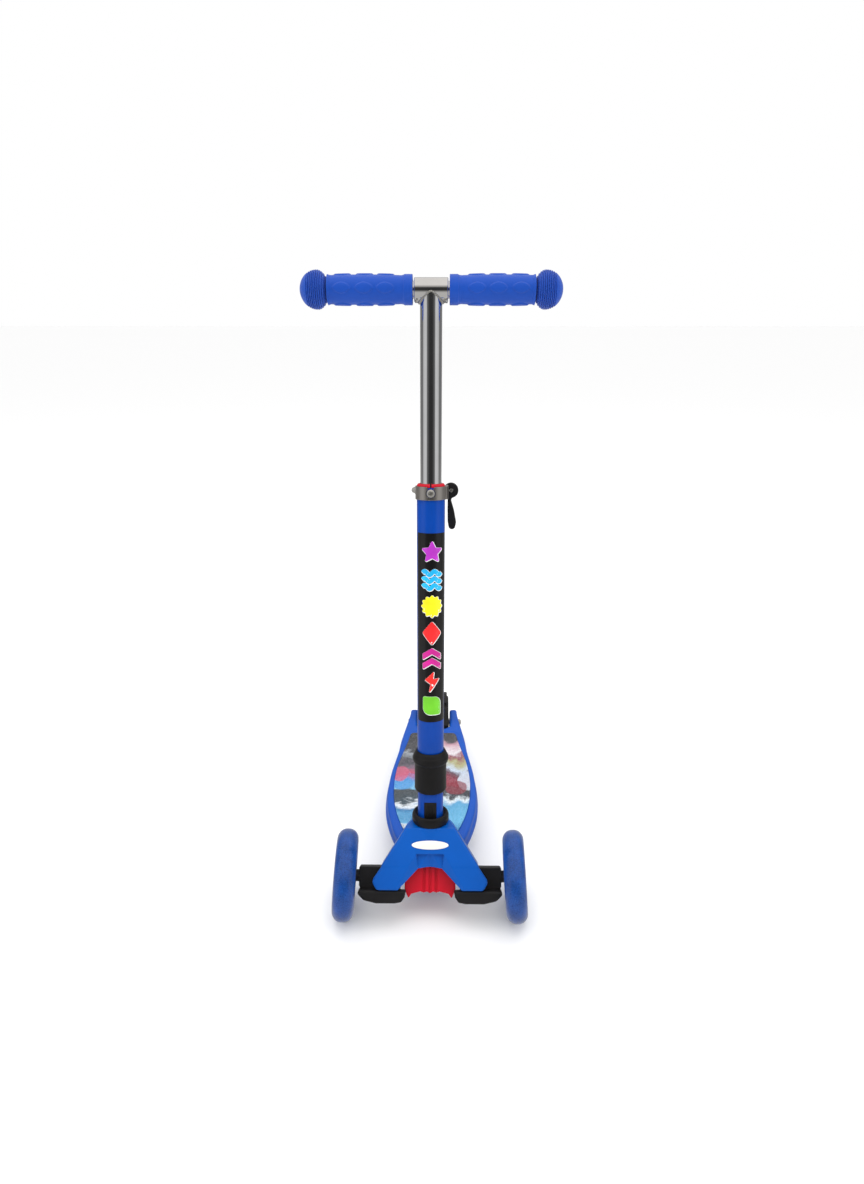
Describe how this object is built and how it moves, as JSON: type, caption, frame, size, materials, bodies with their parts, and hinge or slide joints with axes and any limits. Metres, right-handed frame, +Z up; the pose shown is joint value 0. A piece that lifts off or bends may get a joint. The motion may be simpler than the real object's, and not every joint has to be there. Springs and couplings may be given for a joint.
{
  "type": "kick scooter",
  "caption": "Child's three-wheel folding kick scooter with a height-adjustable T-bar, lean-steer front wheels, a wide printed deck and a rear foot brake.",
  "frame": {"origin": "on the ground, in the middle of the bounding box of the scooter standing on its wheels", "axes": "+Z up along the height, +Y from the front wheels to the rear wheel (the scooter faces -Y), +X to the left of a rider who stands on it. Left and right in the names are as seen from the front, looking along +Y, so left is the -X side."},
  "size_m": [0.2986, 0.5314, 0.8021],
  "materials": {
    "chrome": "polished chrome plate on the bar, the sleeve and the sliding tube",
    "steel": "brushed or zinc-plated steel",
    "alloy": "die-cast knuckles",
    "tube_blue": "gloss blue powder coat",
    "deck_blue": "moulded blue plastic, satin",
    "hood_blue": "moulded blue plastic, satin",
    "grip_blue": "soft blue grip rubber",
    "black_plastic": "black moulded plastic",
    "red_plastic": "red moulded plastic",
    "wheel_blue": "cast translucent blue tread",
    "core_white": "pale moulded wheel centre",
    "mat_grip": "dark speckled anti-slip sheet with a printed pattern",
    "badge_white": "glossy domed label plate"
  },
  "bodies": {
    "chassis": {"deck": "deck_blue", "deck_mat": "mat_grip", "front_hood": "hood_blue", "badge_plate": "badge_white", "centring_bumper": "red_plastic", "stub_tube": "tube_blue", "base_collar": "black_plastic", "button_spring": "steel", "fold_base": "alloy", "fold_pin": "steel", "kingpin_left": "steel", "kingpin_right": "steel", "deck_bolt_left": "steel", "deck_bolt_right": "steel", "rear_axle_bolt": "steel", "rear_axle_nut": "steel", "rear_spacer_left": "steel", "rear_spacer_right": "steel", "brake_pin": "steel", "brake_spring": "steel"},
    "mast": {"fold_head": "alloy", "outer_tube": "tube_blue", "height_bushing": "red_plastic", "clamp_collar": "steel", "clamp_bolt": "steel", "clamp_nut": "steel", "clamp_saddle": "steel", "key_screw": "steel", "lever_pin": "steel"},
    "handlebar": {"inner_tube": "chrome", "tube_end_plug": "black_plastic", "tee_sleeve": "chrome", "crossbar": "chrome", "grip_left": "grip_blue", "grip_right": "grip_blue"},
    "clamp_lever": {"clamp_lever": "black_plastic"},
    "lock_sleeve": {"lock_sleeve": "black_plastic"},
    "release_button": {"release_button": "black_plastic"},
    "steer_left": {"carrier_left": "black_plastic", "tie_pin_left": "steel", "front_axle_bolt_left": "steel"},
    "steer_right": {"carrier_right": "black_plastic", "tie_pin_right": "steel", "front_axle_bolt_right": "steel"},
    "tie_rod": {"tie_rod": "steel"},
    "front_wheel_left": {"front_tyre_left": "wheel_blue", "front_core_left": "core_white", "bearing_inner_left": "steel", "bearing_outer_left": "steel"},
    "front_wheel_right": {"front_tyre_right": "wheel_blue", "front_core_right": "core_white", "bearing_inner_right": "steel", "bearing_outer_right": "steel"},
    "rear_wheel": {"rear_tyre": "wheel_blue", "rear_core": "core_white", "rear_bearing_left": "steel", "rear_bearing_right": "steel"},
    "brake": {"brake_fender": "black_plastic"}
  },
  "joints": [
    {"name": "stem_fold", "type": "hinge", "parent": "chassis", "child": "mast", "pos_m": [0, -0.15605, 0.18249], "axis": [-1, 0, 0], "range_deg": [0, 85]},
    {"name": "sleeve_lift", "type": "slide", "parent": "mast", "child": "lock_sleeve", "axis": [0, 0.1245, 0.9922], "range_m": [0, 0.0745]},
    {"name": "handlebar_height", "type": "slide", "parent": "mast", "child": "handlebar", "axis": [0, 0.1245, 0.9922], "range_m": [-0.12, 0]},
    {"name": "clamp_lever_swing", "type": "hinge", "parent": "mast", "child": "clamp_lever", "pos_m": [0.0244, -0.09971, 0.55134], "axis": [0, -0.9922, 0.1245], "range_deg": [0, 150]},
    {"name": "release_button_press", "type": "slide", "parent": "chassis", "child": "release_button", "axis": [0, 0.9922, -0.1245], "range_m": [0, 0.0025], "stiffness_N_per_m": 600, "springref_m": -0.002, "deforming": ["button_spring"]},
    {"name": "steer_left_turn", "type": "hinge", "parent": "chassis", "child": "steer_left", "pos_m": [-0.048, -0.20728, 0.05833], "axis": [0, 0.5, 0.866], "range_deg": [-12, 12], "stiffness_Nm_per_rad": 6},
    {"name": "steer_right_turn", "type": "hinge", "parent": "chassis", "child": "steer_right", "pos_m": [0.048, -0.20728, 0.05833], "axis": [0, 0.5, 0.866], "range_deg": [-12, 12], "stiffness_Nm_per_rad": 6},
    {"name": "tie_rod_shift", "type": "slide", "parent": "chassis", "child": "tie_rod", "axis": [1, 0, 0], "range_m": [-0.00465, 0.00465]},
    {"name": "front_wheel_left_spin", "type": "hinge", "parent": "steer_left", "child": "front_wheel_left", "pos_m": [-0.112, -0.20728, 0.05833], "axis": [0.9948, 0.0521, -0.0872], "continuous": true},
    {"name": "front_wheel_right_spin", "type": "hinge", "parent": "steer_right", "child": "front_wheel_right", "pos_m": [0.112, -0.20728, 0.05833], "axis": [0.9948, -0.0521, 0.0872], "continuous": true},
    {"name": "rear_wheel_spin", "type": "hinge", "parent": "chassis", "child": "rear_wheel", "pos_m": [0, 0.22572, 0.04], "axis": [1, 0, 0], "continuous": true},
    {"name": "brake_press", "type": "hinge", "parent": "chassis", "child": "brake", "pos_m": [0, 0.17872, 0.057], "axis": [-1, 0, 0], "range_deg": [0, 4.2], "stiffness_Nm_per_rad": 4, "springref_deg": -2.86}
  ],
  "couplings": [
    {"joint": "sleeve_lift", "follows": "stem_fold", "m_per_rad": 0.05},
    {"joint": "steer_right_turn", "follows": "steer_left_turn", "ratio": 1},
    {"joint": "tie_rod_shift", "follows": "steer_left_turn", "m_per_rad": -0.022}
  ]
}
